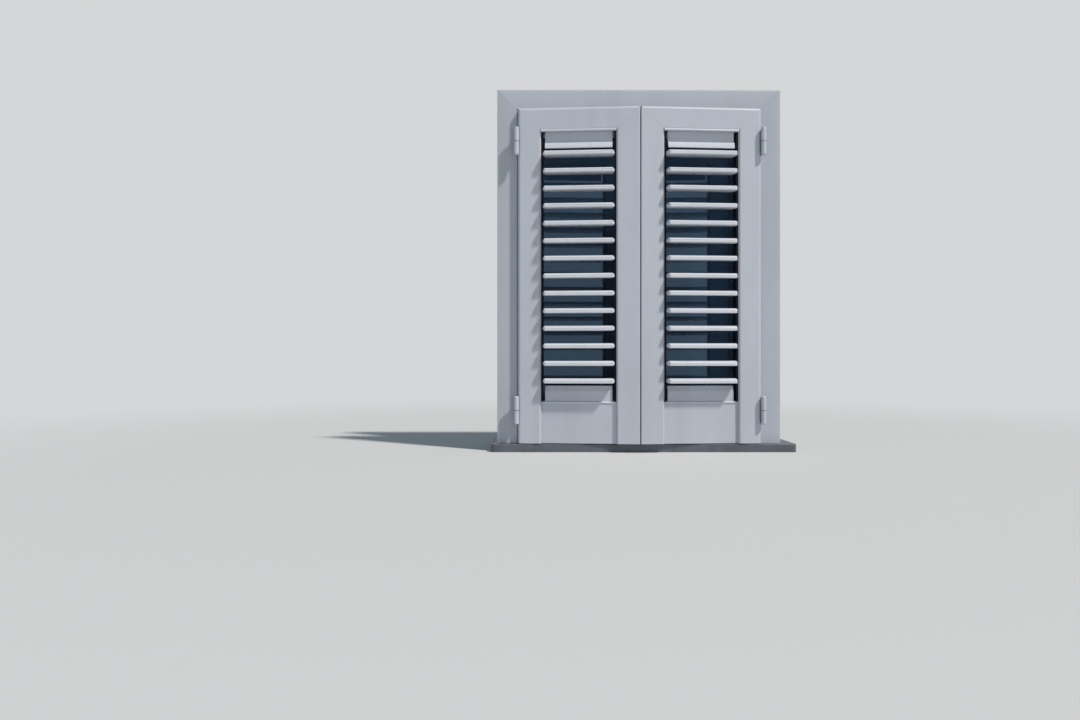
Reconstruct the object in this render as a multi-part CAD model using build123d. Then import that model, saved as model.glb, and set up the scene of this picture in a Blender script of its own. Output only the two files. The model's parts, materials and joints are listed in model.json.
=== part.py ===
from build123d import *
from math import cos, pi, radians, sin
import os

# A casement window behind a pair of white aluminium louvred shutters, on one stone sill.
# X runs to the right along the wall, Y into the wall, Z up, all in millimetres.
# The origin is on the underside of the sill, at the middle, in the plane of the wall face.
# Each right-hand piece is modelled with its leaf or sash shut, and the left-hand one is its mirror image.

# Shutter frame on the wall
frame_width = 1080.0
frame_top = 1380.0
flange_width = 75.0
flange_thickness = 8.0
flange_round = 7.0
frame_depth = 60.0
tube_width = 32.0
stop_width = 18.0
stop_depth = 30.0
frame_wall = 2.0
inner_corner_round = 1.5
fixing_hole_radius = 4.0
fixing_hole_spacing = 780.0
fixing_hole_middle = 670.0

# Sill
sill_thickness = 30.0
sill_nose = 39.0
sill_overhang_left = 22.0
sill_overhang_right = 54.0
sill_corner_cut = 10.0
sill_edge_round = 2.0
drip_groove_width = 8.0
drip_groove_depth = 5.0
drip_groove_inset = 10.0

# Shutter leaves
leaf_gap = 3.0
leaf_meeting_gap = 4.0
leaf_face_proud = 28.0
leaf_thickness = 55.0
member_width = 88.0
member_wall = 1.8
stile_plug = 3.0
outer_round = 11.0
opening_chamfer = 6.0
meeting_round = 3.0
meeting_step = 6.0
meeting_lip = 20.0
bottom_rail_height = 160.0
bottom_rail_recess = 12.5
leaf_rest_angle = 4.0

# Blades
blade_count = 14
first_blade_drop = 88.8
last_blade_rise = 76.9
blade_chord = 84.0
blade_thickness = 20.0
blade_sides = 12
blade_wall = 1.6
blade_hollow_share = 0.55
blade_axis_inset = 12.6
blade_rest_tilt = 0.0
blade_open_tilt = 0.0
blade_shut_tilt = 75.0
blade_cap_length = 9.0
blade_cap_scale = 0.5
blade_end_gap = 0.3
pivot_radius = 3.95
running_clearance = 0.05
crank_radius = 14.0
crank_pin_radius = 1.75
pin_flat_share = 0.76
crank_pin_sides = 4
bearing_sides = 6

# Tracks at the ends of the blades, with the link bar inside the outer one
track_width = 7.5
track_web = 2.5
track_side = 2.0
track_inset = 6.0
track_depth = 38.0
link_thickness = 2.5
link_width = 9.0
link_gap = 0.5
link_end = 11.0
slot_clearance = 0.6

# Fixed filler panels above and below the blades
filler_sheet = 3.0
filler_height_top = 66.0
filler_height_bottom = 58.0
filler_side_gap = 15.0
filler_inset = 15.0
filler_jog_top = 9.5
filler_lean_bottom = 7.0
filler_lip_height = 21.0
filler_foot = 26.0

# Shutter hinges
hinge_barrel_radius = 9.5
hinge_pin_radius = 5.0
hinge_length = 100.0
hinge_from_top = 128.0
hinge_from_bottom = 126.0
hinge_axis_outside = 4.0
hinge_axis_proud = 11.0
hinge_wing = 2.4
hinge_leaf_wing_back = 24.0
hinge_frame_wing_back = 18.0
hinge_split = 0.3
hinge_crown = 6.0
hinge_pin_end_play = 2.0

# Bolt at the top of each meeting stile
bolt_width = 10.0
bolt_thickness = 7.0
bolt_travel = 15.0
bolt_length = 120.0
bolt_from_edge = 30.0
bolt_axis_from_back = 9.0
bolt_hole_play = 1.0
bolt_sink = 1.0
bolt_play = 0.2
bolt_knob_radius = 4.5
bolt_knob_sides = 12
bolt_knob_height = 20.0
bolt_knob_reach = 14.0
bolt_guide_width = 24.0
bolt_guide_length = 56.0
bolt_guide_depth = 15.0
bolt_plate_thickness = 2.0
bolt_slot_play = 0.5

# Seals
seal_width = 8.0
seal_thickness = 2.7
seal_inset = 3.0

# Window
window_setback = 190.0
window_face = 50.0
window_depth = 58.0
window_stop_depth = 22.0
window_rebate = 22.0
sash_gap = 2.0
sash_face = 52.0
sash_depth = 44.0
sash_meeting_gap = 6.0
glazing_lip = 14.0
glazing_lip_depth = 8.0
glass_thickness = 24.0
glass_edge_gap = 3.0
pane_thickness = 4.0
spacer_width = 12.0
bead_setback = 1.0
bead_bevel = 3.0
window_hinge_radius = 7.0
window_hinge_pin_radius = 3.5
window_hinge_length = 80.0
window_hinge_sides = 12
window_hinge_end = 160.0
window_hinge_offset = 5.0
window_barrel_gap = 1.0
window_hinge_wing = 2.4
sash_wing_reach = 18.0
window_wing_margin = 2.0
handle_height = 680.0
handle_rose_length = 70.0
handle_rose_width = 28.0
handle_rose_thickness = 10.0
handle_neck_radius = 8.0
handle_neck_sides = 16
handle_corner_cut = 6.0
handle_neck_length = 38.0
handle_lever_length = 118.0
handle_lever_width = 20.0
handle_lever_thickness = 11.0

# How far a cutter runs past what it cuts, and a pin's root into what carries it
over = 1.0

# Places worked out from the sizes above
half_frame = frame_width / 2
frame_face = -flange_thickness
frame_inner = half_frame - flange_width
frame_back = frame_face + frame_depth
frame_foot = sill_thickness
tube_outer = frame_inner + tube_width
stop_inner = frame_inner - stop_width
stop_face = frame_back - stop_depth
stop_head = frame_top - (half_frame - stop_inner)
opening_head = frame_top - flange_width

leaf_outer = frame_inner - leaf_gap
leaf_edge = leaf_meeting_gap / 2
leaf_front = frame_face - leaf_face_proud
leaf_back = leaf_front + leaf_thickness
leaf_foot = frame_foot + leaf_gap
leaf_top = opening_head - leaf_gap
stile_inner = leaf_outer - member_width
meeting_inner = leaf_edge + member_width
louvre_head = leaf_top - member_width
louvre_foot = leaf_foot + bottom_rail_height

axis_y = leaf_front + blade_axis_inset
first_axis_z = louvre_head - first_blade_drop
last_axis_z = louvre_foot + last_blade_rise
blade_pitch = (first_axis_z - last_axis_z) / (blade_count - 1)
blade_heights = [first_axis_z - blade_pitch * i for i in range(blade_count)]
web_face_outer = stile_inner - track_width
web_face_inner = meeting_inner + track_width
blade_right = web_face_outer - blade_end_gap
blade_left = web_face_inner + blade_end_gap
track_front = leaf_front + track_inset
track_back = track_front + track_depth

hinge_x = leaf_outer + hinge_axis_outside
hinge_y = leaf_front - hinge_axis_proud
hinge_heights = [leaf_top - hinge_from_top, leaf_foot + hinge_from_bottom]

bolt_x = leaf_edge + bolt_from_edge
bolt_y = leaf_back - bolt_axis_from_back
bolt_top = leaf_top - bolt_sink
bolt_foot = bolt_top - bolt_length
knob_z = bolt_foot + bolt_knob_height

window_front = window_setback
window_back = window_front + window_depth
window_outer = tube_outer
window_top = opening_head + tube_width
window_leg_inner = window_outer - window_rebate
sash_front = window_front + window_stop_depth + sash_gap
sash_back = sash_front + sash_depth
sash_outer = window_leg_inner - sash_gap
sash_edge = sash_meeting_gap / 2
sash_foot = frame_foot + window_rebate + sash_gap
sash_top = window_top - window_rebate - sash_gap
glass_front = sash_front + glazing_lip_depth
glass_back = glass_front + glass_thickness
window_hinge_x = window_leg_inner + window_hinge_offset
window_hinge_y = sash_back + window_hinge_radius + window_barrel_gap
window_hinge_heights = [sash_foot + window_hinge_end, sash_top - window_hinge_end]
handle_x = sash_edge + sash_face / 2
sill_back = window_back


def prism(points, start, end, plane=Plane.XY):
    """A straight bar: the outline through the points, run from start to end along the plane's normal."""
    face = make_face(Polyline(*points, close=True))
    return extrude(plane.offset(start) * face, end - start)


def along_x(points, start, end):
    """A bar along X. Each point is (y, z)."""
    return prism(points, start, end, Plane.YZ)


def along_y(points, start, end):
    """A bar along Y. Each point is (x, z). The plane's normal is -Y, so the ends change sign."""
    return prism(points, -end, -start, Plane.XZ)


def across(sketch, x0, x1):
    """A sketch drawn in (y, z), run along X from x0 to x1."""
    return extrude(Plane.YZ.offset(x0) * sketch, x1 - x0)


def rectangle(x0, y0, x1, y1):
    return [(x0, y0), (x1, y0), (x1, y1), (x0, y1)]


def front_cut_box(x0, y0, x1, y1, cut0, cut1):
    """A rectangle whose two front corners, at the lower y, are cut at 45 degrees. A cut may be 0."""
    points = [(x0 + cut0, y0), (x1 - cut1, y0), (x1, y0 + cut1), (x1, y1), (x0, y1), (x0, y0 + cut0)]
    return list(dict.fromkeys(points))


def rod(radius, x, y, z0, z1):
    """An upright round bar."""
    return Pos(x, y, z0) * extrude(Circle(radius), z1 - z0)


def polygon_rod(radius, sides, x, y, z0, z1):
    """An upright bar with flats that stand outside the radius."""
    return Pos(x, y, z0) * extrude(RegularPolygon(radius, sides, major_radius=False), z1 - z0)


def pushed_along_y(sketch, x, z, y0, y1):
    """A sketch run along Y from y0 to y1, centred on (x, z)."""
    return Pos(x, y0, z) * Rot(-90, 0, 0) * extrude(sketch, y1 - y0)


def upright_edges(solid, *places):
    """The upright edges of a bar along Z that stand at the given (x, y) places."""
    return [
        edge
        for edge in solid.edges().filter_by(Axis.Z)
        for x, y in places
        if abs(edge.center().X - x) < 0.01 and abs(edge.center().Y - y) < 0.01
    ]


def laid_along_x(bar, end):
    """Lays an upright bar down: its x becomes height, and its length runs from x = end towards -X."""
    return Pos(end, 0, 0) * Rot(0, -90, 0) * bar


def mirrored(solid):
    return mirror(solid, about=Plane.YZ)


def ajar(solid):
    """Turns a piece of the right leaf about its hinges, from shut to the leaf's rest position."""
    return Pos(hinge_x, hinge_y, 0) * Rot(0, 0, leaf_rest_angle) * Pos(-hinge_x, -hinge_y, 0) * solid


def write(name, solids):
    shape = solids[0] if len(solids) == 1 else Compound(solids)
    shape.label = name
    export_step(shape, os.path.join("parts", name + ".step"))


def write_pair(name, solids):
    """Writes a right-hand node and its left-hand mirror image."""
    write("right_" + name, solids)
    write("left_" + name, [mirrored(solid) for solid in solids])


def sill():
    """The stone slab, with cut front corners, an eased top arris and a drip groove under the nose."""
    left = -half_frame - sill_overhang_left
    right = half_frame + sill_overhang_right
    cut = sill_corner_cut
    outline = [
        (left, sill_back),
        (left, -sill_nose + cut),
        (left + cut, -sill_nose),
        (right - cut, -sill_nose),
        (right, -sill_nose + cut),
        (right, sill_back),
    ]
    slab = prism(outline, 0, sill_thickness)
    top_edges = slab.edges().filter_by_position(Axis.Z, sill_thickness, sill_thickness)
    slab = fillet([edge for edge in top_edges if edge.center().Y < -sill_nose + cut], sill_edge_round)
    groove_y = -sill_nose + drip_groove_inset
    groove = rectangle(groove_y, -over, groove_y + drip_groove_width, drip_groove_depth)
    return slab - along_x(groove, left - over, right + over)


def frame_bar(length):
    """The shutter frame's extrusion: flange on the wall, tube in the reveal, stop behind the leaf."""
    outline = [
        (half_frame, 0),
        (half_frame, frame_face),
        (frame_inner, frame_face),
        (frame_inner, stop_face),
        (stop_inner, stop_face),
        (stop_inner, frame_back),
        (tube_outer, frame_back),
        (tube_outer, 0),
    ]
    bar = prism(outline, 0, length)
    bar = fillet(upright_edges(bar, (half_frame, frame_face)), flange_round)
    bar = fillet(upright_edges(bar, (frame_inner, frame_face)), inner_corner_round)
    wall = frame_wall
    flange_hollow = rectangle(tube_outer, frame_face + wall, half_frame - flange_round, -wall)
    tube_hollow = [
        (frame_inner + wall, frame_face + wall),
        (tube_outer - wall, frame_face + wall),
        (tube_outer - wall, frame_back - wall),
        (stop_inner + wall, frame_back - wall),
        (stop_inner + wall, stop_face + wall),
        (frame_inner + wall, stop_face + wall),
    ]
    bar -= prism(flange_hollow, -over, length + over)
    return bar - prism(tube_hollow, -over, length + over)


def frame_jamb():
    """The right jamb: square on the sill, mitred at the top, with two fixing holes through stop and tube."""
    outline = [
        (stop_inner, frame_foot),
        (half_frame, frame_foot),
        (half_frame, frame_top),
        (stop_inner, stop_head),
    ]
    jamb = frame_bar(frame_top) & along_y(outline, frame_face - over, frame_back + over)
    hole_y = (stop_face + frame_back) / 2
    for side in (-1, 1):
        z = fixing_hole_middle + side * fixing_hole_spacing / 2
        jamb -= across(Pos(hole_y, z) * Circle(fixing_hole_radius), stop_inner - over, tube_outer + over)
    return jamb


def frame_head():
    """The same extrusion over the opening, mitred at both ends, with the two bolt holes in its underside."""
    bar = laid_along_x(frame_bar(frame_width), half_frame)
    bar = Pos(0, 0, frame_top - half_frame) * bar
    outline = [
        (-half_frame, frame_top),
        (-stop_inner, stop_head),
        (stop_inner, stop_head),
        (half_frame, frame_top),
    ]
    head = bar & along_y(outline, frame_face - over, frame_back + over)
    bolt_hole = bolt_bar(opening_head - over, opening_head + frame_wall + over, bolt_hole_play)
    return head - bolt_hole - mirrored(bolt_hole)


def frame_seals():
    """Three rubber strips on the stop, which the shut leaves press against."""
    back = stop_face
    front = stop_face - seal_thickness
    edge = stop_inner + seal_inset
    top = stop_head + seal_inset
    upright = prism(rectangle(edge, front, edge + seal_width, back), frame_foot, top)
    head = along_x(rectangle(front, top, back, top + seal_width), -edge - seal_width, edge + seal_width)
    return [upright, mirrored(upright), head]


def outer_stile():
    """The hinge stile, mitred to the top rail and plugged at its foot."""
    cut = opening_chamfer
    outline = front_cut_box(stile_inner, leaf_front, leaf_outer, leaf_back, cut, 0)
    stile = prism(outline, leaf_foot, leaf_top)
    stile = fillet(upright_edges(stile, (leaf_outer, leaf_front)), outer_round)
    wall = member_wall
    hollow = front_cut_box(
        stile_inner + wall, leaf_front + wall, leaf_outer - wall, leaf_back - wall, cut, outer_round
    )
    stile -= prism(hollow, leaf_foot + stile_plug, leaf_top)
    mitred = [
        (stile_inner, leaf_foot),
        (leaf_outer, leaf_foot),
        (leaf_outer, leaf_top),
        (stile_inner, louvre_head),
    ]
    return stile & along_y(mitred, leaf_front - over, leaf_back + over)


def meeting_stile():
    """The stile at the middle. Its edge steps back behind a front lip, so that each leaf swings clear."""
    lip_back = leaf_front + meeting_lip
    step = leaf_edge + meeting_step
    cut = opening_chamfer
    outline = [
        (leaf_edge, leaf_front),
        (meeting_inner - cut, leaf_front),
        (meeting_inner, leaf_front + cut),
        (meeting_inner, leaf_back),
        (step, leaf_back),
        (step, lip_back),
        (leaf_edge, lip_back),
    ]
    stile = prism(outline, leaf_foot, leaf_top)
    stile = fillet(upright_edges(stile, (leaf_edge, leaf_front)), meeting_round)
    wall = member_wall
    hollow = front_cut_box(
        step + wall, leaf_front + wall, meeting_inner - wall, leaf_back - wall, meeting_round, cut
    )
    stile -= prism(hollow, leaf_foot + stile_plug, leaf_top)
    mitred = [
        (leaf_edge, leaf_foot),
        (meeting_inner, leaf_foot),
        (meeting_inner, louvre_head),
        (leaf_edge, leaf_top),
    ]
    stile = stile & along_y(mitred, leaf_front - over, leaf_back + over)
    return stile - knob_slot(leaf_back - wall - over, leaf_back + over)


def knob_slot(y0, y1):
    """The upright slot that the bolt's knob travels in, from y0 to y1."""
    half = bolt_knob_radius + bolt_slot_play
    outline = rectangle(bolt_x - half, knob_z - half, bolt_x + half, knob_z + bolt_travel + half)
    return along_y(outline, y0, y1)


def top_rail():
    """The leaf's head, mitred into both stiles, with the hole that the bolt leaves through."""
    cut = opening_chamfer
    outline = front_cut_box(louvre_head, leaf_front, leaf_top, leaf_back, cut, 0)
    bar = prism(outline, 0, leaf_outer - leaf_edge)
    bar = fillet(upright_edges(bar, (leaf_top, leaf_front)), outer_round)
    wall = member_wall
    hollow = front_cut_box(
        louvre_head + wall, leaf_front + wall, leaf_top - wall, leaf_back - wall, cut, outer_round
    )
    bar -= prism(hollow, -over, leaf_outer)
    mitred = [
        (leaf_edge, leaf_top),
        (meeting_inner, louvre_head),
        (stile_inner, louvre_head),
        (leaf_outer, leaf_top),
    ]
    rail = laid_along_x(bar, leaf_outer) & along_y(mitred, leaf_front - over, leaf_back + over)
    step = rectangle(leaf_edge - over, leaf_front + meeting_lip, leaf_edge + meeting_step, leaf_back + over)
    rail -= prism(step, louvre_head, leaf_top + over)
    return rail - bolt_bar(leaf_top - wall - over, leaf_top + over, bolt_play)


def bottom_rail():
    """The tall rail butted between the stiles, set back from their faces."""
    front = leaf_front + bottom_rail_recess
    width = stile_inner - meeting_inner
    cut = opening_chamfer
    outline = front_cut_box(leaf_foot, front, louvre_foot, leaf_back, 0, cut)
    wall = member_wall
    hollow = front_cut_box(leaf_foot + wall, front + wall, louvre_foot - wall, leaf_back - wall, 0, cut)
    bar = prism(outline, 0, width) - prism(hollow, -over, width + over)
    return laid_along_x(bar, stile_inner)


def filler(outline, edge_z, direction):
    """A fixed sheet from its outline in (y, distance from the rail at edge_z towards the blades)."""
    outline = [(y, edge_z + direction * distance) for y, distance in outline]
    return along_x(outline, meeting_inner + filler_side_gap, stile_inner - filler_side_gap)


def fillers():
    """The two fixed sheets of a leaf, each with a foot on its rail. The upper one ends in a lip that
    stands forward of the shut blades, the lower one in a lip that leans back behind them."""
    sheet = filler_sheet
    face = leaf_front + filler_inset
    foot = [(face + sheet, sheet), (face + filler_foot, sheet), (face + filler_foot, 0), (face, 0)]
    lip_face = face - filler_jog_top
    end = filler_height_top
    knee = end - filler_lip_height
    upper = [(face, knee), (lip_face, knee), (lip_face, end), (lip_face + sheet, end)]
    upper += [(lip_face + sheet, knee + sheet), (face + sheet, knee + sheet)]
    back = face + filler_lean_bottom
    end = filler_height_bottom
    knee = end - filler_lip_height
    lower = [(face, knee), (back, end), (back + sheet, end), (face + sheet, knee)]
    return [filler(upper + foot, louvre_head, -1), filler(lower + foot, louvre_foot, 1)]


def track_bar(web_face, back_face):
    """A channel on a stile's inner face. Its web, with the bearing holes, faces the blades."""
    toward_stile = 1 if back_face > web_face else -1
    inner = web_face + toward_stile * track_web
    outline = [
        (web_face, track_front),
        (back_face, track_front),
        (back_face, track_front + track_side),
        (inner, track_front + track_side),
        (inner, track_back - track_side),
        (back_face, track_back - track_side),
        (back_face, track_back),
        (web_face, track_back),
    ]
    return prism(outline, louvre_foot, louvre_head)


def crank_slot():
    """The window that a crank pin sweeps over its whole travel, about the blade's pivot in (y, z)."""
    middle = (blade_open_tilt + blade_shut_tilt) / 2
    half_swing = radians((blade_shut_tilt - blade_open_tilt) / 2)
    margin = crank_pin_radius + slot_clearance
    near = crank_radius * cos(half_swing) - margin
    far = crank_radius + margin
    half_length = crank_radius * sin(half_swing) + margin
    return Rot(0, 0, middle) * Pos((near + far) / 2, 0) * Rectangle(far - near, 2 * half_length)


def blade_tracks():
    """Both tracks of a leaf. The outer one has a crank window beside each bearing hole."""
    outer = track_bar(web_face_outer, stile_inner)
    inner = track_bar(web_face_inner, meeting_inner)
    hole = bearing_hole(pivot_radius)
    window = crank_slot()
    for z in blade_heights:
        at_blade = Pos(axis_y, z)
        outer -= across(at_blade * hole, web_face_outer - over, stile_inner)
        outer -= across(at_blade * window, web_face_outer - over, stile_inner)
        inner -= across(at_blade * hole, meeting_inner, web_face_inner + over)
    return [outer, inner]


def pin_section(radius):
    """A square pin whose corners are turned to the radius, so that it bears on four narrow round faces."""
    side = 2 * radius * pin_flat_share
    return Rectangle(side, side) & Circle(radius)


def bearing_hole(pin_radius):
    """A hole that a pin can turn in: its flats clear the pin's corners."""
    return RegularPolygon(pin_radius + running_clearance, bearing_sides, major_radius=False)


def blade_outline(scale=1.0):
    """The blade's oval section in (y, z) about its pivot, with flats that touch its chord and thickness."""
    outline = []
    for i in range(blade_sides):
        angle = -(i + 0.5) * 2 * pi / blade_sides
        stretch = scale / 2 / cos(pi / blade_sides)
        outline.append((stretch * blade_chord * cos(angle), stretch * blade_thickness * sin(angle)))
    return outline


def blade_body(half_length):
    """The hollow extruded length of a blade, about its middle."""
    half = blade_chord / 2 * blade_hollow_share
    deep = blade_thickness / 2 - blade_wall
    shallow = deep / 2
    hollow = [(-half, -shallow), (0, -deep), (half, -shallow), (half, shallow), (0, deep), (-half, shallow)]
    body = along_x(blade_outline(), -half_length, half_length)
    return body - along_x(hollow, -half_length - over, half_length + over)


def tapered_prism(outline0, x0, outline1, x1):
    """A solid between two similar outlines in (y, z), with flat sides."""
    near = [Vector(x0, y, z) for y, z in outline0]
    far = [Vector(x1, y, z) for y, z in outline1]
    count = len(near)
    quads = [[near[i], near[(i + 1) % count], far[(i + 1) % count], far[i]] for i in range(count)]
    faces = [Face(Wire.make_polygon(points)) for points in quads + [near, far]]
    return Part() + Solid(Shell(faces))


def blade_cap(start, end):
    """An end cap that tapers from the blade's section towards a point, with the pivot pin on it."""
    cap = tapered_prism(blade_outline(), start, blade_outline(blade_cap_scale), end)
    pin_end = end + blade_end_gap + track_web
    return cap + across(pin_section(pivot_radius), end - over, pin_end)


def blade():
    """One blade, level, about its pivot line: body and two caps, the outer cap with the crank pin."""
    length = blade_right - blade_left
    middle = (blade_right + blade_left) / 2
    body_end = length / 2 - blade_cap_length
    cap = blade_cap(body_end, length / 2)
    crank_end = length / 2 + blade_end_gap + track_web + link_gap + link_thickness
    crank_pin = Pos(crank_radius, 0) * RegularPolygon(crank_pin_radius, crank_pin_sides)
    outer_cap = cap + across(crank_pin, length / 2 - over, crank_end)
    solids = (blade_body(body_end), outer_cap, mirrored(cap))
    return [Pos(middle, 0, 0) * solid for solid in solids]


def link_bar():
    """The flat bar in the outer track that ties the crank pins together, at the blades' rest tilt."""
    start = web_face_outer + track_web + link_gap
    end = start + link_thickness
    crank_y = axis_y + crank_radius * cos(radians(blade_rest_tilt))
    crank_rise = crank_radius * sin(radians(blade_rest_tilt))
    low = blade_heights[-1] + crank_rise - link_end
    high = blade_heights[0] + crank_rise + link_end
    bar = along_x(rectangle(crank_y - link_width / 2, low, crank_y + link_width / 2, high), start, end)
    for z in blade_heights:
        bar -= across(Pos(crank_y, z + crank_rise) * bearing_hole(crank_pin_radius), start - over, end + over)
    return bar


def leaf_hinge_halves():
    """The upper half of each shutter hinge: knuckle with a blind bore, and its wing on the leaf's edge."""
    halves = []
    for z in hinge_heights:
        low = z + hinge_split
        high = z + hinge_length / 2
        wing = rectangle(leaf_outer, hinge_y, leaf_outer + hinge_wing, leaf_front + hinge_leaf_wing_back)
        half = rod(hinge_barrel_radius, hinge_x, hinge_y, low, high) + prism(wing, low, high)
        bore_end = high - hinge_crown
        half -= rod(hinge_pin_radius + running_clearance, hinge_x, hinge_y, low - over, bore_end)
        halves.append(half)
    return halves


def frame_hinge_halves():
    """The lower half of each shutter hinge: knuckle with its fixed pin, and its wing inside the frame."""
    halves = []
    for z in hinge_heights:
        low = z - hinge_length / 2
        wing = rectangle(frame_inner - hinge_wing, hinge_y, frame_inner, frame_face + hinge_frame_wing_back)
        half = rod(hinge_barrel_radius, hinge_x, hinge_y, low, z) + prism(wing, low, z)
        pin_end = z + hinge_length / 2 - hinge_crown - hinge_pin_end_play
        half += rod(hinge_pin_radius, hinge_x, hinge_y, z - over, pin_end)
        halves.append(half)
    return halves


def bolt_bar(z0, z1, play=0.0):
    """The bolt's flat bar from z0 to z1 on the shut leaf, or with play, the hole that it slides in."""
    half_x = bolt_width / 2 + play
    half_y = bolt_thickness / 2 + play
    return prism(rectangle(bolt_x - half_x, bolt_y - half_y, bolt_x + half_x, bolt_y + half_y), z0, z1)


def bolt():
    """The sliding bolt with its knob, drawn back, on the shut leaf."""
    knob_end = leaf_back + bolt_plate_thickness + bolt_knob_reach
    knob = RegularPolygon(bolt_knob_radius, bolt_knob_sides)
    return bolt_bar(bolt_foot, bolt_top) + pushed_along_y(knob, bolt_x, knob_z, bolt_y, knob_end)


def bolt_case():
    """The guide block inside the meeting stile and the slotted plate on its back."""
    half = bolt_guide_width / 2
    inside = leaf_back - member_wall
    low = knob_z - bolt_guide_length / 3
    high = low + bolt_guide_length
    block = prism(rectangle(bolt_x - half, inside - bolt_guide_depth, bolt_x + half, inside), low, high)
    block -= bolt_bar(low - over, high + over, bolt_play)
    block -= knob_slot(bolt_y, inside + over)
    plate_end = leaf_back + bolt_plate_thickness
    plate = prism(rectangle(bolt_x - half, leaf_back, bolt_x + half, plate_end), low, high)
    return [block, plate - knob_slot(leaf_back - over, plate_end + over)]


def ring(section, left, right, low, high):
    """A mitred four-sided frame: the section, as (inward distance, y) points, runs round the rectangle."""
    depth = max(inward for inward, y in section) + 1
    upright = prism([(right - inward, y) for inward, y in section], low, high)
    side = [(right, low), (right, high), (right - depth, high - depth), (right - depth, low + depth)]
    level = along_x([(y, high - inward) for inward, y in section], left, right)
    top = [(left, high), (right, high), (right - depth, high - depth), (left + depth, high - depth)]
    half = (upright & along_y(side, 0, window_back * 2)) + (level & along_y(top, 0, window_back * 2))
    x = (left + right) / 2
    z = (low + high) / 2
    return half + Pos(x, 0, z) * Rot(0, 180, 0) * Pos(-x, 0, -z) * half


def window_frame():
    """The fixed window frame: a front stop all round, and a leg beside the sashes."""
    stop_back = window_front + window_stop_depth
    section = [
        (0, window_front),
        (window_face, window_front),
        (window_face, stop_back),
        (window_rebate, stop_back),
        (window_rebate, window_back),
        (0, window_back),
    ]
    return ring(section, -window_outer, window_outer, frame_foot, window_top)


def sash_frame():
    """The right sash: a lip in front of the glass, a bevelled bead behind it, and the hinge halves."""
    pocket = sash_face - glazing_lip
    bead_face = sash_face - bead_setback
    section = [
        (0, sash_front),
        (sash_face, sash_front),
        (sash_face, glass_front),
        (pocket, glass_front),
        (pocket, glass_back),
        (bead_face, glass_back),
        (bead_face, sash_back - bead_bevel),
        (bead_face - bead_bevel, sash_back),
        (0, sash_back),
    ]
    return [ring(section, sash_edge, sash_outer, sash_foot, sash_top)] + sash_hinge_halves()


def sash_hinge_halves():
    """The upper half of each window hinge, with its wing on the back of the sash."""
    x, y = window_hinge_x, window_hinge_y
    halves = []
    for z in window_hinge_heights:
        low = z + hinge_split
        high = z + window_hinge_length / 2
        wing_back = sash_back + window_hinge_wing
        wing = rectangle(sash_outer - sash_wing_reach, sash_back, x, wing_back)
        half = polygon_rod(window_hinge_radius, window_hinge_sides, x, y, low, high)
        half += prism(wing, low, high)
        bore_radius = window_hinge_pin_radius + running_clearance
        bore_end = high - hinge_crown
        halves.append(half - polygon_rod(bore_radius, window_hinge_sides, x, y, low - over, bore_end))
    return halves


def window_hinge_halves():
    """The lower half of each window hinge with its fixed pin, on the back of the window frame."""
    x, y = window_hinge_x, window_hinge_y
    leg_outer = x + window_hinge_radius
    leg_inner = leg_outer - window_hinge_wing
    leg = rectangle(leg_inner, window_back, leg_outer, y)
    foot = rectangle(
        leg_inner, window_back, window_outer - window_wing_margin, window_back + window_hinge_wing
    )
    pin = RegularPolygon(window_hinge_pin_radius, window_hinge_sides)
    halves = []
    for z in window_hinge_heights:
        low = z - window_hinge_length / 2
        half = polygon_rod(window_hinge_radius, window_hinge_sides, x, y, low, z)
        half += prism(leg, low, z) + prism(foot, low, z)
        pin_length = window_hinge_length / 2 - hinge_crown - hinge_pin_end_play + over
        halves.append(half + Pos(x, y, z - over) * extrude(pin, pin_length))
    return halves


def glass():
    """The right sealed glazing unit, held between lip and bead: two panes with a spacer ring between them."""
    inset = sash_face - glazing_lip + glass_edge_gap
    left, right = sash_edge + inset, sash_outer - inset
    low, high = sash_foot + inset, sash_top - inset
    outline = rectangle(left, low, right, high)
    front_back = glass_front + pane_thickness
    rear_front = glass_back - pane_thickness
    front = along_y(outline, glass_front, front_back)
    rear = along_y(outline, rear_front, glass_back)
    spacer = ring(rectangle(0, front_back, spacer_width, rear_front), left, right, low, high)
    return [front, rear, spacer]


def handle_rose():
    """The rose plate on the right sash's meeting stile."""
    half = handle_rose_width / 2
    outline = rectangle(
        handle_x - half, handle_height - handle_rose_length / 2,
        handle_x + half, handle_height + handle_rose_length / 2,
    )
    rose = along_y(outline, sash_back, sash_back + handle_rose_thickness)
    return chamfer(rose.edges().filter_by(Axis.Y), handle_corner_cut)


def window_handle():
    """The handle, shut: a round neck on the rose and a lever hanging down."""
    neck_start = sash_back + handle_rose_thickness
    neck_end = neck_start + handle_neck_length
    neck_section = RegularPolygon(handle_neck_radius, handle_neck_sides)
    neck = pushed_along_y(neck_section, handle_x, handle_height, neck_start, neck_end)
    half = handle_lever_width / 2
    outline = rectangle(
        handle_x - half, handle_height - handle_lever_length, handle_x + half, handle_height + half
    )
    lever = along_y(outline, neck_end - handle_lever_thickness, neck_end)
    return neck + chamfer(lever.edges().filter_by(Axis.Y), handle_corner_cut)


def write_blades():
    """Every blade of both leaves, tilted to rest and turned with its leaf. Blade 01 is the top one."""
    level = blade()
    for number, z in enumerate(blade_heights, start=1):
        tilted = [Pos(0, axis_y, z) * Rot(blade_rest_tilt, 0, 0) * solid for solid in level]
        write_pair("blade_%02d" % number, [ajar(solid) for solid in tilted])


def write_leaf(name, solids):
    """Writes one node of the leaves, for both sides, turned to the leaves' rest position."""
    write_pair(name, [ajar(solid) for solid in solids])


os.makedirs("parts", exist_ok=True)

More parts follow.
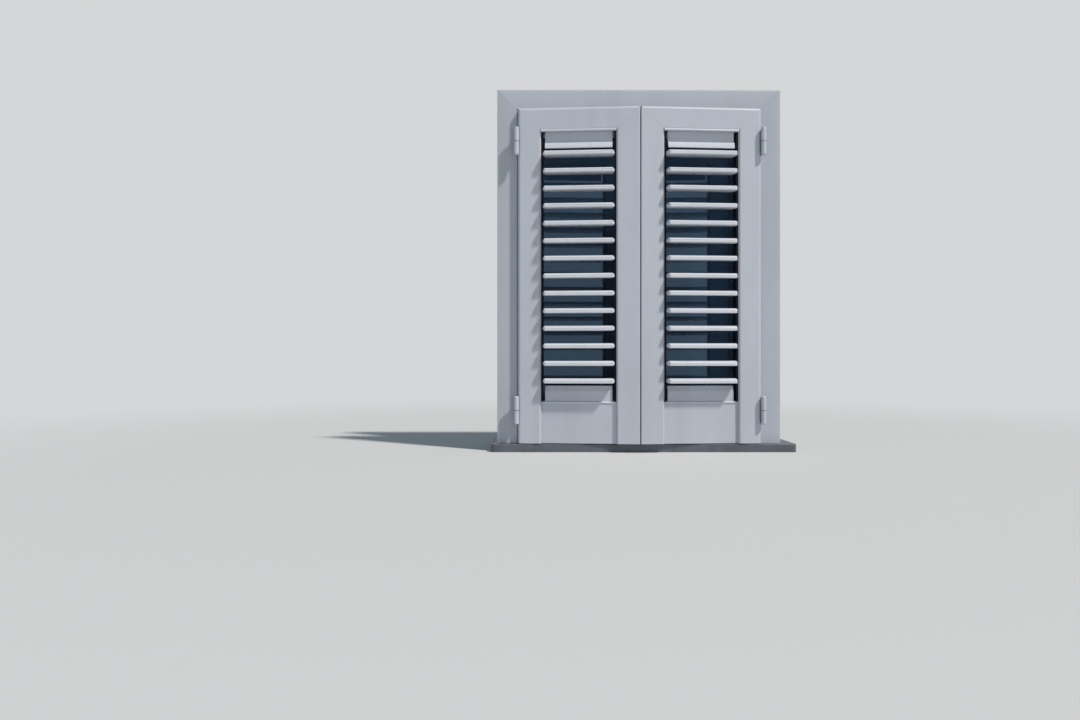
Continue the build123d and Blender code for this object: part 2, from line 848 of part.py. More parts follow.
write("sill", [sill()])
write("frame_head", [frame_head()])
write("frame_jamb_right", [frame_jamb()])
write("frame_jamb_left", [mirrored(frame_jamb())])
write("frame_seals", frame_seals())
right_hinges = frame_hinge_halves() + window_hinge_halves()
write("fixed_hinge_halves", right_hinges + [mirrored(half) for half in right_hinges])
write("window_frame", [window_frame()])

write_leaf("outer_stile", [outer_stile()])
write_leaf("meeting_stile", [meeting_stile()])
write_leaf("top_rail", [top_rail()])
write_leaf("bottom_rail", [bottom_rail()])
write_leaf("fillers", fillers())
write_leaf("blade_tracks", blade_tracks())
write_leaf("link_bar", [link_bar()])
write_leaf("hinge_halves", leaf_hinge_halves())
write_leaf("bolt_case", bolt_case())
write_leaf("bolt", [bolt()])
write_blades()

right_sash = sash_frame()
write("left_sash_frame", [mirrored(solid) for solid in right_sash])
write("right_sash_frame", right_sash + [handle_rose()])
write_pair("glass", glass())
write("window_handle", [window_handle()])
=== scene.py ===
import json
from math import cos, pi, radians, sin
import bmesh
import bpy
from mathutils import Matrix, Vector


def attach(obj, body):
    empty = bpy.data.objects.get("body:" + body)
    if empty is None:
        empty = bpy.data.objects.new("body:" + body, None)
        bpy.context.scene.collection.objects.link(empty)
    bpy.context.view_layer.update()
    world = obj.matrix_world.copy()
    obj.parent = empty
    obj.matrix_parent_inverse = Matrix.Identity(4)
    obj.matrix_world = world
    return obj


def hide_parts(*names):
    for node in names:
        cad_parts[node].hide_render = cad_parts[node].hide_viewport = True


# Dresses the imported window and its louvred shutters: materials, small parts, studio and camera.
# Everything is in metres, in the frame of the solids: X right, Y into the wall, Z up.

SIDES = {"left": -1, "right": 1}
BLADES = range(1, 15)

# Colours, as linear RGB
WHITE_COAT = (0.475, 0.50, 0.555)
# Painted shade: the frame's white coat, darkened for the lesser light that reaches it
FRAME_COAT_PAINTED_SHADE = (0.41, 0.435, 0.485)
# Painted light: the same white coat brightened, so that blade tops, the drip lip and the ledge show
# sunlit
BLADE_COAT_PAINTED_LIGHT = (0.62, 0.64, 0.69)
WHITE_PLASTIC = (0.60, 0.615, 0.64)
TRACK_BLACK = (0.0035, 0.0045, 0.0065)
STONE = (0.085, 0.097, 0.118)
STONE_SPECK = (0.17, 0.185, 0.20)
# Dark glass tint, made bluer as part of a painted sky reflection
GLASS_TINT_AND_PAINTED_SKY = (0.012, 0.028, 0.055)
# Blue colour given to every reflection: painted sky reflection
GLASS_PAINTED_SKY_SHEEN = (0.42, 0.70, 1.0)
JOINT_GREY = (0.30, 0.31, 0.34)
FIN_GREY = (0.34, 0.35, 0.38)
RUBBER = (0.012, 0.012, 0.013)
STEEL = (0.42, 0.43, 0.45)
SATIN = (0.50, 0.50, 0.51)
FLOOR_GREY = (0.53, 0.53, 0.53)
BACKDROP = (0.66, 0.67, 0.68)
SUN_COLOUR = (1.0, 0.96, 0.91)
SKY_COLOUR = (0.60, 0.82, 1.0)

# Surfaces: glass, the powder coat's darkest cloud, rays for softened edges
GLASS_INDEX = 2.1
GLASS_COVER = 0.75
CLOUD_SHADE = 0.965
BEVEL_SAMPLES = 4

# Meshes: distance at which points are one, angles in degrees, steps of a rounded edge
WELD = 1e-6
FLAT = 1
ROUNDED_EDGE = 30
SHARP_EDGE = 35
ROUNDING_STEPS = 3

# The solids that take the frame's coat: the same white as the leaves, darkened as painted shade
COVER_FRAME = ("frame_head", "frame_jamb_left", "frame_jamb_right")

# Shutter leaves, as the right one lies when shut: hinge line, outline, opening
LEAF_AJAR = 4.0
HINGE_X = 0.466
HINGE_Y = -0.047
HINGE_HEIGHTS = {"top": 1.174, "foot": 0.159}
HINGE_LENGTH = 0.100
LEAF_FRONT = -0.036
LEAF_OUTER = 0.462
LEAF_MEETING = 0.002
LEAF_TOP = 1.302
OPENING_LEFT = 0.090
OPENING_RIGHT = 0.374
OPENING_TOP = 1.214

# Trim across the openings, as (y, z) from the face and the height that it sits on
BEAD = (
    (0.0, 0.0050),
    (-0.0020, 0.0034),
    (-0.0035, 0.0008),
    (-0.0041, -0.0018),
    (-0.0034, -0.0038),
    (-0.0012, -0.0045),
    (0.0045, -0.0045),
    (0.0045, 0.0012),
    (0.0010, 0.0035),
)
DRIP_LIP = (
    (0.0006, 0.0205),
    (-0.0002, 0.0205),
    (-0.0040, 0.0022),
    (-0.0036, 0.0006),
    (-0.0024, 0.0),
    (0.0006, 0.0),
)
LEDGE = (
    (0.0004, -0.0074),
    (-0.0006, -0.0074),
    (-0.0030, -0.0060),
    (-0.0034, -0.0046),
    (-0.0028, -0.0034),
    (0.0064, 0.0010),
    (0.0068, -0.0004),
)
FILLER_GAP = 0.015
RAIL_TOP = 0.193
RAIL_FACE = -0.0235
LIP_FACE = -0.0305
LIP_FOOT = 1.148

# Strips in the gaps beside and between the leaves, as (x, y)
JAMB_LIP = (
    (0.4655, -0.0100),
    (0.4640, -0.0100),
    (0.4627, -0.0092),
    (0.4627, -0.0080),
    (0.4655, -0.0070),
)
SIDE_FIN = (
    (0.4615, -0.0065),
    (0.4636, -0.0060),
    (0.4645, -0.0052),
    (0.4645, -0.0046),
    (0.4636, -0.0042),
    (0.4615, -0.0038),
)
SIDE_FIN_CLEARANCE = 0.004
MEETING_FIN = (
    (0.0003, -0.0335),
    (0.0025, -0.0339),
    (0.0025, -0.0313),
    (0.0003, -0.0323),
)
MEETING_FIN_ENDS = (0.040, 1.294)

# Trim of the hinges' barrels, as (radius, height) from the barrel's end and from its split
HINGE_DOME = (
    (0.0095, 0.0),
    (0.008835, 0.0013),
    (0.00665, 0.0025),
    (0.003325, 0.0032),
    (0.0001, 0.0034),
)
HINGE_WASHER = ((0.0099, -0.0012), (0.0099, 0.0002))

# Blades: place, then the section as (y, z) about the pivot, and the caps as (inset, scale)
BLADE_MIDDLE = 0.232
BLADE_HALF_LENGTH = 0.1342
BLADE_Y = -0.0234
BLADE_TOP_Z = 1.1252
BLADE_LAST_Z = 0.2699
BLADE_NOSE = (
    (-0.0240, -0.0094),
    (-0.0340, -0.0094),
    (-0.0386, -0.0092),
    (-0.0406, -0.0089),
    (-0.0415, -0.0084),
    (-0.0419, -0.0078),
    (-0.0420, -0.0072),
    (-0.0418, -0.0004),
    (-0.0407, 0.0003),
    (-0.0407, 0.0010),
    (-0.0418, 0.0015),
    (-0.0411, 0.0028),
    (-0.0397, 0.0042),
    (-0.0366, 0.0062),
    (-0.0320, 0.0080),
    (-0.0262, 0.0093),
    (-0.0196, 0.0099),
    (-0.0120, 0.0100),
)
BLADE_TAIL = (
    (0.0, 0.0096),
    (0.0120, 0.0086),
    (0.0230, 0.0070),
    (0.0320, 0.0050),
    (0.0385, 0.0029),
    (0.0414, 0.0012),
    (0.0420, 0.0),
    (0.0413, -0.0010),
    (0.0380, -0.0020),
    (0.0250, -0.0042),
    (0.0080, -0.0066),
    (-0.0090, -0.0083),
)
CAP_PROFILE = (
    (0.0, 0.50),
    (0.0005, 0.56),
    (0.0062, 0.97),
    (0.0070, 1.0),
    (0.0071, 0.985),
    (0.0076, 0.985),
    (0.0077, 1.0),
)

# Cover frame, in plan and height
FRAME_HALF_WIDTH = 0.540
FRAME_TOP = 1.380
FLANGE_FRONT = -0.008
FLANGE_WIDTH = 0.075
FLANGE_FOOT = 0.0305

# Its face plates: thickness, details of the section, and how far each slope reaches inward
PLATE = 0.002
PLATE_BACK = 0.0005
PLATE_FOOT = (0.0002, -0.0003)
PLATE_SHOULDER = (0.0008, 0.94)
PLATE_ROUND = 0.0005
PLATE_GAP = 0.0003
PLATE_SLOPES = {"head": 0.0056, "left": 0.0008, "right": 0.0042}

# Window behind: sash opening and glazing
SASH_OPENING = (0.055, 0.421, 0.106, 1.261)
GLASS_FRONT = 0.222
GLASS_BACK = 0.246
GASKET = ((-0.0005, 0.0), (0.004, 0.0), (0.0032, 0.0015), (0.0012, 0.0025), (-0.0005, 0.0025))
HANDLE_ROUNDING = 0.0015

# Hairline joints at the mitres
SEAM_WIDTH = 0.0004
SEAM_PROUD = 0.00005
COVER_SEAM_INSET = 0.004
LEAF_SEAM_INSET = 0.010
LEAF_SEAM_STOP = (0.006, 0.008)

# Camera, light and floor
CAMERA_PLACE = (-0.377, -2.983, 0.3485)
CAMERA_LENS = 25.97
SENSOR_WIDTH = 36.0
SUN_TRAVEL = (-1.70, 1.15, -2.83)
SUN_STRENGTH = 3.5
SUN_ANGLE = 4.0
SKY_STRENGTH = 0.29
BOUNCE_PLACE = (0.0, -5.0, 0.75)
BOUNCE_AIM = (0.0, 0.0, 0.5)
BOUNCE_SIZE = (4.4, 1.3)
BOUNCE_POWER = 34.0
FLOOR_RADIUS = 30.0
FLOOR_SIDES = 96
FLOOR_SHARP = 1.6
FLOOR_FADED = 4.5


def new_material(name, colour, roughness, metallic=0.0):
    """A material with a Principled shader in one plain colour, for the recipes below."""
    material = bpy.data.materials.new(name)
    material.use_nodes = True
    shader = material.node_tree.nodes["Principled BSDF"]
    shader.inputs["Base Color"].default_value = (*colour, 1)
    shader.inputs["Roughness"].default_value = roughness
    shader.inputs["Metallic"].default_value = metallic
    return material


def add_node(material, kind, **values):
    """A new node with its inputs set by name, spaces in names written as underscores."""
    node = material.node_tree.nodes.new(kind)
    for key, value in values.items():
        node.inputs[key.replace("_", " ")].default_value = value
    return node


def link(material, start, end):
    material.node_tree.links.new(start, end)


def own_coordinates(material, squeeze):
    """The object's own coordinates in metres, squeezed per axis for streaks and grain."""
    where = add_node(material, "ShaderNodeTexCoord")
    mapping = add_node(material, "ShaderNodeMapping", Scale=squeeze)
    link(material, where.outputs["Object"], mapping.inputs["Vector"])
    return mapping.outputs["Vector"]


def noise(material, scale, detail=3.0, roughness=0.55, squeeze=(1, 1, 1)):
    node = add_node(material, "ShaderNodeTexNoise", Scale=scale, Detail=detail, Roughness=roughness)
    link(material, own_coordinates(material, squeeze), node.inputs["Vector"])
    return node.outputs["Fac"]


def ramp(material, source, *stops):
    """A colour ramp over the source, from (position, colour) stops. A number stands for a grey."""
    node = material.node_tree.nodes.new("ShaderNodeValToRGB")
    elements = node.color_ramp.elements
    while len(elements) < len(stops):
        elements.new(0.5)
    for element, (position, colour) in zip(elements, stops):
        element.position = position
        grey = isinstance(colour, (int, float))
        element.color = (colour, colour, colour, 1) if grey else (*colour, 1)
    link(material, source, node.inputs["Fac"])
    return node.outputs["Color"]


def blend_colours(material, factor, first, second, mode="MIX"):
    """Mixes two colours, each a socket or an RGB tuple, by a factor that is a socket or a number."""
    node = material.node_tree.nodes.new("ShaderNodeMix")
    node.data_type = "RGBA"
    node.blend_type = mode
    sockets = {"factor": node.inputs[0], "first": node.inputs[6], "second": node.inputs[7]}
    for key, value in {"factor": factor, "first": first, "second": second}.items():
        if isinstance(value, bpy.types.NodeSocket):
            link(material, value, sockets[key])
        elif isinstance(value, (int, float)):
            sockets[key].default_value = value
        else:
            sockets[key].default_value = (*value, 1)
    return node.outputs[2]


def colour_from(material, socket):
    link(material, socket, material.node_tree.nodes["Principled BSDF"].inputs["Base Color"])


def roughness_from(material, socket):
    link(material, socket, material.node_tree.nodes["Principled BSDF"].inputs["Roughness"])


def surface_detail(material, height, strength, distance, edge_radius=0.0):
    """Bump from a height socket, over edges that are softened by the given radius in metres."""
    bump = add_node(material, "ShaderNodeBump", Strength=strength, Distance=distance)
    link(material, height, bump.inputs["Height"])
    if edge_radius:
        bevel = material.node_tree.nodes.new("ShaderNodeBevel")
        bevel.samples = BEVEL_SAMPLES
        bevel.inputs["Radius"].default_value = edge_radius
        link(material, bevel.outputs["Normal"], bump.inputs["Normal"])
    link(material, bump.outputs["Normal"], material.node_tree.nodes["Principled BSDF"].inputs["Normal"])


def shade(colour, factor):
    return tuple(channel * factor for channel in colour)


def powder_coat(name, colour, grime=0.10, gloss=(0.38, 0.50)):
    """Fine-textured powder coat with faint rain streaks and a little dust."""
    material = new_material(name, colour, 0.42)
    streaks = noise(material, 9.0, 4.0, 0.6, (1, 1, 0.12))
    clouds = noise(material, 5.0, 3.0)
    worn = ramp(material, streaks, (0.42, 0.0), (0.75, 1.0))
    dirty = blend_colours(material, worn, colour, shade(colour, 1 - grime))
    shifted = ramp(material, clouds, (0.3, CLOUD_SHADE), (0.7, 1.0))
    colour_from(material, blend_colours(material, 1.0, dirty, shifted, "MULTIPLY"))
    roughness_from(material, ramp(material, noise(material, 30.0), (0.3, gloss[0]), (0.7, gloss[1])))
    surface_detail(material, noise(material, 1400.0, 2.0), 0.25, 0.00012, 0.0007)
    return material


def moulded_plastic(name, colour, roughness, specular=0.5, mottle=0.14):
    """Plastic or rubber with faint patches and a fine texture."""
    material = new_material(name, colour, roughness)
    material.node_tree.nodes["Principled BSDF"].inputs["Specular IOR Level"].default_value = specular
    patches = noise(material, 14.0)
    colour_from(material, ramp(material, patches, (0.3, shade(colour, 1 - mottle)), (0.7, colour)))
    dull = noise(material, 9.0)
    roughness_from(material, ramp(material, dull, (0.3, roughness * 0.9), (0.7, roughness * 1.1)))
    surface_detail(material, noise(material, 2400.0, 1.0), 0.3, 0.00008, 0.0004)
    return material


def dark_stone(name):
    """Honed dark stone: cloudy ground, fine light specks, small pits."""
    material = new_material(name, STONE, 0.5)
    clouds = noise(material, 14.0, 6.0, 0.65)
    ground = ramp(material, clouds, (0.3, shade(STONE, 0.75)), (0.5, STONE), (0.75, shade(STONE, 1.35)))
    grain = noise(material, 900.0, 2.0, 0.7)
    specks = ramp(material, grain, (0.56, 0.0), (0.68, 1.0))
    colour_from(material, blend_colours(material, specks, ground, STONE_SPECK))
    roughness_from(material, ramp(material, noise(material, 60.0), (0.3, 0.40), (0.7, 0.62)))
    surface_detail(material, noise(material, 420.0, 4.0, 0.7), 0.35, 0.0003, 0.0008)
    return material


def tinted_glass(name):
    """Dark reflective glazing that still lets some of the room show through. The blue of its
    reflections is a painted sky reflection, and part of its body's blue too.
    """
    material = new_material(name, GLASS_TINT_AND_PAINTED_SKY, 0.03)
    shader = material.node_tree.nodes["Principled BSDF"]
    shader.inputs["IOR"].default_value = GLASS_INDEX
    # Blue tint on every reflection: painted sky reflection
    shader.inputs["Specular Tint"].default_value = (*GLASS_PAINTED_SKY_SHEEN, 1)
    shader.inputs["Alpha"].default_value = GLASS_COVER
    film = noise(material, 6.0, 3.0)
    roughness_from(material, ramp(material, film, (0.35, 0.02), (0.75, 0.06)))
    return material


def brushed_metal(name, colour, roughness):
    """Metal with an upright grain."""
    material = new_material(name, colour, roughness, 1.0)
    grain = noise(material, 60.0, 4.0, 0.6, (30, 30, 1))
    roughness_from(material, ramp(material, grain, (0.3, roughness * 0.8), (0.7, roughness * 1.3)))
    surface_detail(material, grain, 0.15, 0.00008, 0.0004)
    return material


def make_materials():
    return {
        "shutter_white": powder_coat("powder_coat", WHITE_COAT),
        # The cover frame: the leaves' white coat darkened, as painted shade
        "frame_white_painted_shade": powder_coat("frame_coat_painted_shade", FRAME_COAT_PAINTED_SHADE),
        "window_white": moulded_plastic("window_plastic", WHITE_PLASTIC, 0.34, 0.5, 0.03),
        "track_black": moulded_plastic("track_plastic", TRACK_BLACK, 0.6, 0.15),
        "bare_steel": brushed_metal("zinc_plate", STEEL, 0.34),
        "seal": moulded_plastic("rubber", RUBBER, 0.7),
        "glass": tinted_glass("tinted_glass"),
        "handle": brushed_metal("satin_handle", SATIN, 0.36),
        "stone": dark_stone("honed_stone"),
        # The leaves' white brightened as painted light, for the blades, the drip lip and the ledge
        "blades": powder_coat("blade_coat_painted_light", BLADE_COAT_PAINTED_LIGHT, 0.05, (0.26, 0.36)),
        "joints": moulded_plastic("joint_line", JOINT_GREY, 0.6),
        "fins": moulded_plastic("meeting_rubber", FIN_GREY, 0.6),
    }


def dress_nodes(frame, materials):
    """Every solid gets the material of its slot in the record; the cover frame gets the leaves' white
    darkened as painted shade.
    """
    slot_of = {part["node"]: part["material_slot"] for part in frame["record"]["subparts"]}
    for name, node in frame["nodes"].items():
        key = "frame_white_painted_shade" if name in COVER_FRAME else slot_of[name]
        node.data.materials.clear()
        node.data.materials.append(materials[key])


def mirrored(side):
    """The right side as it is, or flipped over to the left."""
    return Matrix.Diagonal((SIDES[side], 1, 1, 1))


def leaf_place(side):
    """From the shut right leaf to the leaf of that side as it stands, ajar."""
    hinge = Vector((HINGE_X, HINGE_Y, 0))
    turn = Matrix.Rotation(radians(LEAF_AJAR), 4, "Z")
    return mirrored(side) @ Matrix.Translation(hinge) @ turn @ Matrix.Translation(-hinge)


def blade_place(side, number):
    """From a blade's own pivot line to its place in the leaf."""
    share = (number - 1) / (len(BLADES) - 1)
    height = BLADE_TOP_Z + (BLADE_LAST_Z - BLADE_TOP_Z) * share
    return leaf_place(side) @ Matrix.Translation((BLADE_MIDDLE, BLADE_Y, height))


def loft(rings, closed_ends=True):
    """Vertices and faces through rings of equally many points."""
    count = len(rings[0])
    points = [point for ring in rings for point in ring]
    faces = []
    for level in range(len(rings) - 1):
        for i in range(count):
            j = (i + 1) % count
            base, above = level * count, (level + 1) * count
            faces.append((base + i, base + j, above + j, above + i))
    if closed_ends:
        last = (len(rings) - 1) * count
        faces += [tuple(range(count)), tuple(range(last, last + count))]
    return points, faces


def lathe(profile, x, y, segments=48):
    """Rings about an upright line, from (radius, height) pairs."""
    rings = []
    for radius, height in profile:
        angles = [2 * pi * i / segments for i in range(segments)]
        rings.append([(x + radius * cos(a), y + radius * sin(a), height) for a in angles])
    return loft(rings)


def four_sided(section, left, right, low, high):
    """A mitred ring round a rectangle, from a closed section of (inward, y) points."""
    corners = ((left, low, 1, 1), (right, low, -1, 1), (right, high, -1, -1), (left, high, 1, -1))
    rings = []
    for x, z, dx, dz in corners + corners[:1]:
        rings.append([(x + dx * inward, y, z + dz * inward) for inward, y in section])
    return loft(rings, closed_ends=False)


def piece(name, shape, material, body, where=Matrix()):
    """A new mesh piece from (points, faces), placed, dressed and riding on its body."""
    points, faces = shape
    mesh = bpy.data.meshes.new(name)
    mesh.from_pydata([where @ Vector(point) for point in points], [], faces)
    clean(mesh)
    mesh.materials.append(material)
    made = bpy.data.objects.new(name, mesh)
    bpy.context.scene.collection.objects.link(made)
    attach(made, body)
    return made


def clean(mesh):
    """Welds doubled points, turns faces outward and shades smooth over the flatter edges."""
    work = bmesh.new()
    work.from_mesh(mesh)
    bmesh.ops.remove_doubles(work, verts=work.verts, dist=WELD)
    bmesh.ops.recalc_face_normals(work, faces=work.faces)
    work.to_mesh(mesh)
    work.free()
    mesh.shade_smooth()
    mesh.set_sharp_from_angle(angle=radians(SHARP_EDGE))


def blade_shape():
    """One blade about its pivot line, with its seamed end caps tapering at both ends."""
    stations = [(-BLADE_HALF_LENGTH + inset, scale) for inset, scale in CAP_PROFILE]
    stations += [(BLADE_HALF_LENGTH - inset, scale) for inset, scale in reversed(CAP_PROFILE)]
    section = BLADE_NOSE + BLADE_TAIL
    return loft([[(x, y * scale, z * scale) for y, z in section] for x, scale in stations])


def add_blades(materials):
    """The drawn blades, each in place of its plainer solid."""
    shape = blade_shape()
    # The blades take the brightened coat: painted light on their tops
    white = materials["blades"]
    for side in SIDES:
        for number in BLADES:
            node = "%s_blade_%02d" % (side, number)
            where = blade_place(side, number)
            made = piece(node + "_dressed", shape, white, node + "_body", where)
            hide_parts(node)


def along_opening(name, section, y, z, ends, material):
    """A strip across each louvre opening, from a section of (y, z) points, on face y at height z."""
    rings = [[(x, y + depth, z + height) for depth, height in section] for x in ends]
    for side in SIDES:
        body = side + "_leaf"
        piece("%s_%s" % (side, name), loft(rings), material, body, leaf_place(side))


def add_opening_trim(materials):
    """The moulding under each top rail, the filler's drip lip and the bottom rail's ledge; lip and
    ledge take the brightened coat as painted light.
    """
    ends = (OPENING_LEFT, OPENING_RIGHT)
    along_opening("opening_bead", BEAD, LEAF_FRONT, OPENING_TOP, ends, materials["shutter_white"])
    filler_ends = (OPENING_LEFT + FILLER_GAP, OPENING_RIGHT - FILLER_GAP)
    # Lip and ledge in the brightened coat: painted light
    along_opening("drip_lip", DRIP_LIP, LIP_FACE, LIP_FOOT, filler_ends, materials["blades"])
    along_opening("rail_ledge", LEDGE, RAIL_FACE, RAIL_TOP, ends, materials["blades"])


def plate_section(slope):
    """A face plate as (inward, y) points, from the frame's outer edge and its front."""
    edge, foot = PLATE_FOOT
    shoulder, share = PLATE_SHOULDER
    inner = FLANGE_WIDTH - PLATE_GAP
    return (
        (edge, PLATE_BACK),
        (edge, foot),
        (slope, -PLATE * share),
        (slope + shoulder, -PLATE),
        (inner - PLATE_ROUND, -PLATE),
        (inner, PLATE_ROUND - PLATE),
        (inner, PLATE_BACK),
    )


def add_face_plates(materials):
    """The cover frame's face plates, mitred, their outer edges sloped where the light shows it."""
    top_left, top_right = (-1, FRAME_TOP, 1, -1), (1, FRAME_TOP, -1, -1)
    runs = {
        "head": (top_left, top_right),
        "left": ((-1, FLANGE_FOOT, 1, 0), top_left),
        "right": ((1, FLANGE_FOOT, -1, 0), top_right),
    }
    for name, corners in runs.items():
        section = plate_section(PLATE_SLOPES[name])
        rings = []
        for x, z, dx, dz in corners:
            rings.append([(x * FRAME_HALF_WIDTH + dx * inward, FLANGE_FRONT + y, z + dz * inward)
                          for inward, y in section])
        # The plates take the frame's coat, darkened as painted shade
        piece("frame_plate_" + name, loft(rings), materials["frame_white_painted_shade"], "frame")


def upright(section, ends):
    """A strip standing from one height to another, from a section of (x, y) points."""
    return loft([[(x, y, z) for x, y in section] for z in ends])


def add_hinge_side_lips(materials):
    """A lip on each jamb and fins on each leaf's side, which narrow the gap beside the hinges."""
    # The frame's coat, darkened as painted shade
    white = materials["frame_white_painted_shade"]
    reach = HINGE_LENGTH / 2 + SIDE_FIN_CLEARANCE
    high, low = HINGE_HEIGHTS["top"], HINGE_HEIGHTS["foot"]
    spans = {
        "foot": (FLANGE_FOOT + SIDE_FIN_CLEARANCE, low - reach),
        "middle": (low + reach, high - reach),
        "top": (high + reach, LEAF_TOP - SIDE_FIN_CLEARANCE),
    }
    lip = upright(JAMB_LIP, (FLANGE_FOOT, LEAF_TOP))
    for side in SIDES:
        piece("jamb_lip_" + side, lip, white, "frame", mirrored(side))
        for part, span in spans.items():
            name = "%s_side_fin_%s" % (side, part)
            fin = upright(SIDE_FIN, span)
            piece(name, fin, white, side + "_leaf", leaf_place(side))


def add_meeting_fin(materials):
    """The soft fin on the right leaf that half closes the gap between the leaves."""
    fin = upright(MEETING_FIN, MEETING_FIN_ENDS)
    piece("meeting_fin", fin, materials["fins"], "right_leaf", leaf_place("right"))


def on_hinge(profile, height, way=1):
    """A turned shape about the hinge line, from (radius, height) pairs measured up or down."""
    return lathe([(radius, height + way * rise) for radius, rise in profile], HINGE_X, HINGE_Y)


def add_hinge_trim(materials):
    """Domed ends on the shutter hinges' barrels, and the dark washer at each split."""
    white, black = materials["shutter_white"], materials["track_black"]
    half = HINGE_LENGTH / 2
    for side in SIDES:
        for end, height in HINGE_HEIGHTS.items():
            name = "%s_hinge_%s" % (side, end)
            crown = on_hinge(HINGE_DOME, height + half)
            base = on_hinge(HINGE_DOME, height - half, -1)
            washer = on_hinge(HINGE_WASHER, height)
            piece(name + "_crown", crown, white, side + "_leaf", mirrored(side))
            piece(name + "_base", base, white, "frame", mirrored(side))
            piece(name + "_washer", washer, black, "frame", mirrored(side))


def seam_shape(start, end, y):
    """A hairline strip on a face at depth y, between two (x, z) points."""
    along = (Vector(end) - Vector(start)).normalized()
    across = Vector((-along.y, along.x)) * SEAM_WIDTH / 2
    rings = []
    for point in (start, end):
        left, right = Vector(point) - across, Vector(point) + across
        ring = [(left.x, y, left.y), (right.x, y, right.y)]
        ring += [(right.x, y - SEAM_PROUD, right.y), (left.x, y - SEAM_PROUD, left.y)]
        rings.append(ring)
    return loft(rings)


def add_mitre_seams(materials):
    """The hairline joints at the mitred corners of the cover frame and of the leaves."""
    cover = seam_shape(
        (FRAME_HALF_WIDTH - COVER_SEAM_INSET, FRAME_TOP - COVER_SEAM_INSET),
        (FRAME_HALF_WIDTH - FLANGE_WIDTH, FRAME_TOP - FLANGE_WIDTH),
        FLANGE_FRONT - PLATE,
    )
    aside, above = LEAF_SEAM_STOP
    top = LEAF_TOP - LEAF_SEAM_INSET
    outer = seam_shape(
        (LEAF_OUTER - LEAF_SEAM_INSET, top), (OPENING_RIGHT + aside, OPENING_TOP + above), LEAF_FRONT
    )
    inner = seam_shape(
        (LEAF_MEETING + LEAF_SEAM_INSET, top), (OPENING_LEFT - aside, OPENING_TOP + above), LEAF_FRONT
    )
    joint = materials["joints"]
    for side in SIDES:
        piece(side + "_frame_mitre", cover, joint, "frame", mirrored(side))
        piece(side + "_leaf_mitre_outer", outer, joint, side + "_leaf", leaf_place(side))
        piece(side + "_leaf_mitre_inner", inner, joint, side + "_leaf", leaf_place(side))


def add_glazing_gaskets(materials):
    """Rubber wedges round each glazing unit, outside and inside."""
    rubber = materials["seal"]
    for name, face, outward in (("outer", GLASS_FRONT, -1), ("inner", GLASS_BACK, 1)):
        section = [(inward, face + outward * rise) for inward, rise in GASKET]
        shape = four_sided(section, *SASH_OPENING)
        for side in SIDES:
            piece("%s_gasket_%s" % (side, name), shape, rubber, side + "_sash", mirrored(side))


def add_rounded_handle(frame, materials):
    """The window handle's shape with its edges really rounded, in place of the solid."""
    node = "window_handle"
    mesh = frame["nodes"][node].data.copy()
    work = bmesh.new()
    work.from_mesh(mesh)
    bmesh.ops.remove_doubles(work, verts=work.verts, dist=WELD)
    bmesh.ops.dissolve_limit(work, angle_limit=radians(FLAT), verts=work.verts, edges=work.edges)
    work.to_mesh(mesh)
    work.free()
    mesh.shade_smooth()
    mesh.materials.clear()
    mesh.materials.append(materials["handle"])
    made = bpy.data.objects.new(node + "_dressed", mesh)
    bpy.context.scene.collection.objects.link(made)
    bevel = made.modifiers.new("edges", "BEVEL")
    bevel.width = HANDLE_ROUNDING
    bevel.segments = ROUNDING_STEPS
    bevel.limit_method = "ANGLE"
    bevel.angle_limit = radians(ROUNDED_EDGE)
    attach(made, "handle")
    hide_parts(node)


def add_floor():
    """A pale floor that fades into the pale background with distance, so that no horizon shows."""
    bpy.ops.mesh.primitive_circle_add(vertices=FLOOR_SIDES, radius=FLOOR_RADIUS, fill_type="NGON")
    floor = bpy.context.object
    floor.name = "studio_floor"
    material = new_material("studio_floor", FLOOR_GREY, 0.9)
    tree = material.node_tree
    where = add_node(material, "ShaderNodeTexCoord")
    length = tree.nodes.new("ShaderNodeVectorMath")
    length.operation = "LENGTH"
    link(material, where.outputs["Object"], length.inputs[0])
    fade = add_node(material, "ShaderNodeMapRange", From_Min=FLOOR_SHARP, From_Max=FLOOR_FADED)
    fade.interpolation_type = "SMOOTHSTEP"
    link(material, length.outputs["Value"], fade.inputs["Value"])
    glow = add_node(material, "ShaderNodeEmission", Color=(*BACKDROP, 1), Strength=1.0)
    seen = seen_rays(tree)
    both = tree.nodes.new("ShaderNodeMath")
    both.operation = "MULTIPLY"
    link(material, fade.outputs["Result"], both.inputs[0])
    link(material, seen, both.inputs[1])
    mix = tree.nodes.new("ShaderNodeMixShader")
    link(material, both.outputs[0], mix.inputs[0])
    link(material, tree.nodes["Principled BSDF"].outputs[0], mix.inputs[1])
    link(material, glow.outputs[0], mix.inputs[2])
    link(material, mix.outputs[0], tree.nodes["Material Output"].inputs["Surface"])
    floor.data.materials.append(material)


def seen_rays(tree):
    """A socket that is 1 for camera, glossy and transmission rays: those that show the background."""
    path = tree.nodes.new("ShaderNodeLightPath")
    total = None
    for name in ("Is Camera Ray", "Is Glossy Ray", "Is Transmission Ray"):
        if total is None:
            total = path.outputs[name]
            continue
        most = tree.nodes.new("ShaderNodeMath")
        most.operation = "MAXIMUM"
        tree.links.new(total, most.inputs[0])
        tree.links.new(path.outputs[name], most.inputs[1])
        total = most.outputs[0]
    return total


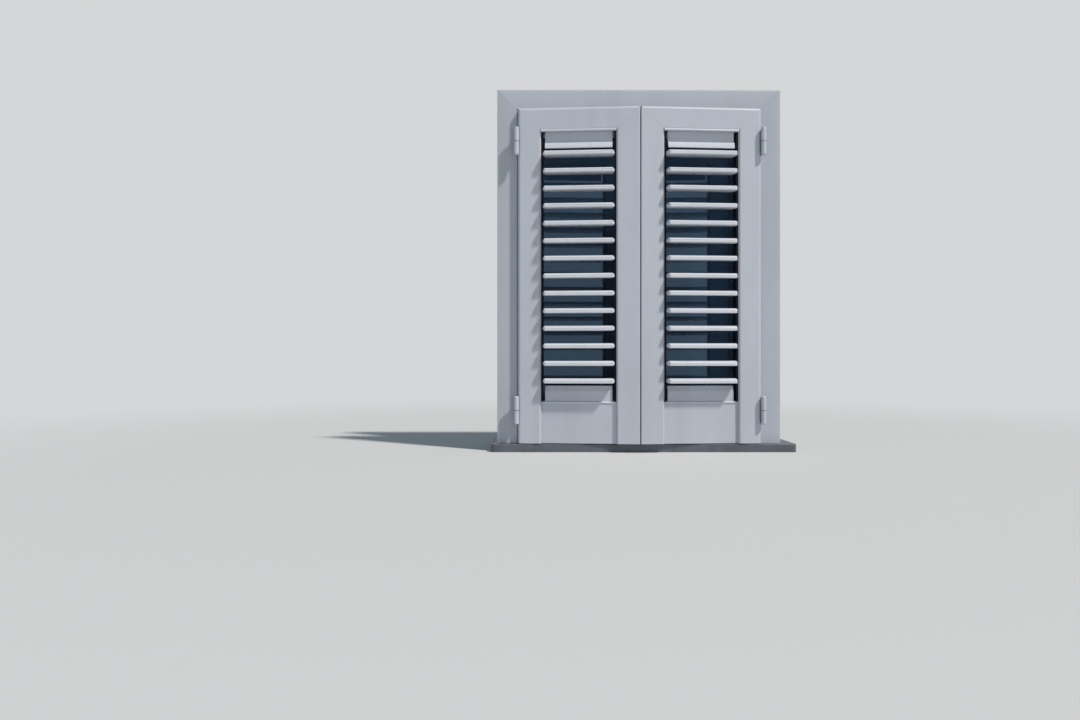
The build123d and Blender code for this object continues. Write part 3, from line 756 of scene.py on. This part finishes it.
def add_world():
    """An even, faintly blue sky light, seen as the pale background."""
    world = bpy.data.worlds.new("studio")
    bpy.context.scene.world = world
    world.use_nodes = True
    tree = world.node_tree
    sky = tree.nodes["Background"]
    sky.inputs["Color"].default_value = (*SKY_COLOUR, 1)
    sky.inputs["Strength"].default_value = SKY_STRENGTH
    shown = tree.nodes.new("ShaderNodeBackground")
    shown.inputs["Color"].default_value = (*BACKDROP, 1)
    mix = tree.nodes.new("ShaderNodeMixShader")
    tree.links.new(seen_rays(tree), mix.inputs[0])
    tree.links.new(sky.outputs[0], mix.inputs[1])
    tree.links.new(shown.outputs[0], mix.inputs[2])
    tree.links.new(mix.outputs[0], tree.nodes["World Output"].inputs["Surface"])


def add_sun():
    """The key light, from high on the right, softened."""
    data = bpy.data.lights.new("key", "SUN")
    data.energy = SUN_STRENGTH
    data.angle = radians(SUN_ANGLE)
    data.color = SUN_COLOUR
    sun = bpy.data.objects.new("key", data)
    sun.rotation_euler = Vector(SUN_TRAVEL).to_track_quat("-Z", "Y").to_euler()
    bpy.context.scene.collection.objects.link(sun)


def add_bounce():
    """A wide, soft lamp low behind the camera, for the light that paving and walls throw back."""
    data = bpy.data.lights.new("bounce", "AREA")
    data.shape = "RECTANGLE"
    data.size, data.size_y = BOUNCE_SIZE
    data.energy = BOUNCE_POWER
    lamp = bpy.data.objects.new("bounce", data)
    lamp.location = BOUNCE_PLACE
    aim = Vector(BOUNCE_AIM) - Vector(BOUNCE_PLACE)
    lamp.rotation_euler = aim.to_track_quat("-Z", "Y").to_euler()
    lamp.visible_camera = False
    lamp.visible_glossy = False
    bpy.context.scene.collection.objects.link(lamp)


def add_camera():
    """A level camera in front and to the left, looking straight at the wall plane."""
    data = bpy.data.cameras.new("camera")
    data.sensor_width = SENSOR_WIDTH
    data.sensor_fit = "HORIZONTAL"
    data.lens = CAMERA_LENS
    camera = bpy.data.objects.new("camera", data)
    camera.location = CAMERA_PLACE
    camera.rotation_euler = (radians(90), 0, 0)
    bpy.context.scene.collection.objects.link(camera)
    bpy.context.scene.camera = camera


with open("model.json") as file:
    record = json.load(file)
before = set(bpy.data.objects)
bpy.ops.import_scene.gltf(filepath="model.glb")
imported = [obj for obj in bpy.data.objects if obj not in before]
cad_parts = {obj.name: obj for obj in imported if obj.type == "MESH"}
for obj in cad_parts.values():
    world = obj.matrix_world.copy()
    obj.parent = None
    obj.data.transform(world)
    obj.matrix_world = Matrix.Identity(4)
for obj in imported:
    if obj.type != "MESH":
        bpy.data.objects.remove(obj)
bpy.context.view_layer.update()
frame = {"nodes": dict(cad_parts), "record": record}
materials = make_materials()
dress_nodes(frame, materials)
add_blades(materials)
add_opening_trim(materials)
add_face_plates(materials)
add_hinge_side_lips(materials)
add_meeting_fin(materials)
add_hinge_trim(materials)
add_mitre_seams(materials)
add_glazing_gaskets(materials)
add_rounded_handle(frame, materials)
add_floor()
add_world()
add_sun()
add_bounce()
add_camera()
bpy.context.scene.view_settings.view_transform = "Standard"
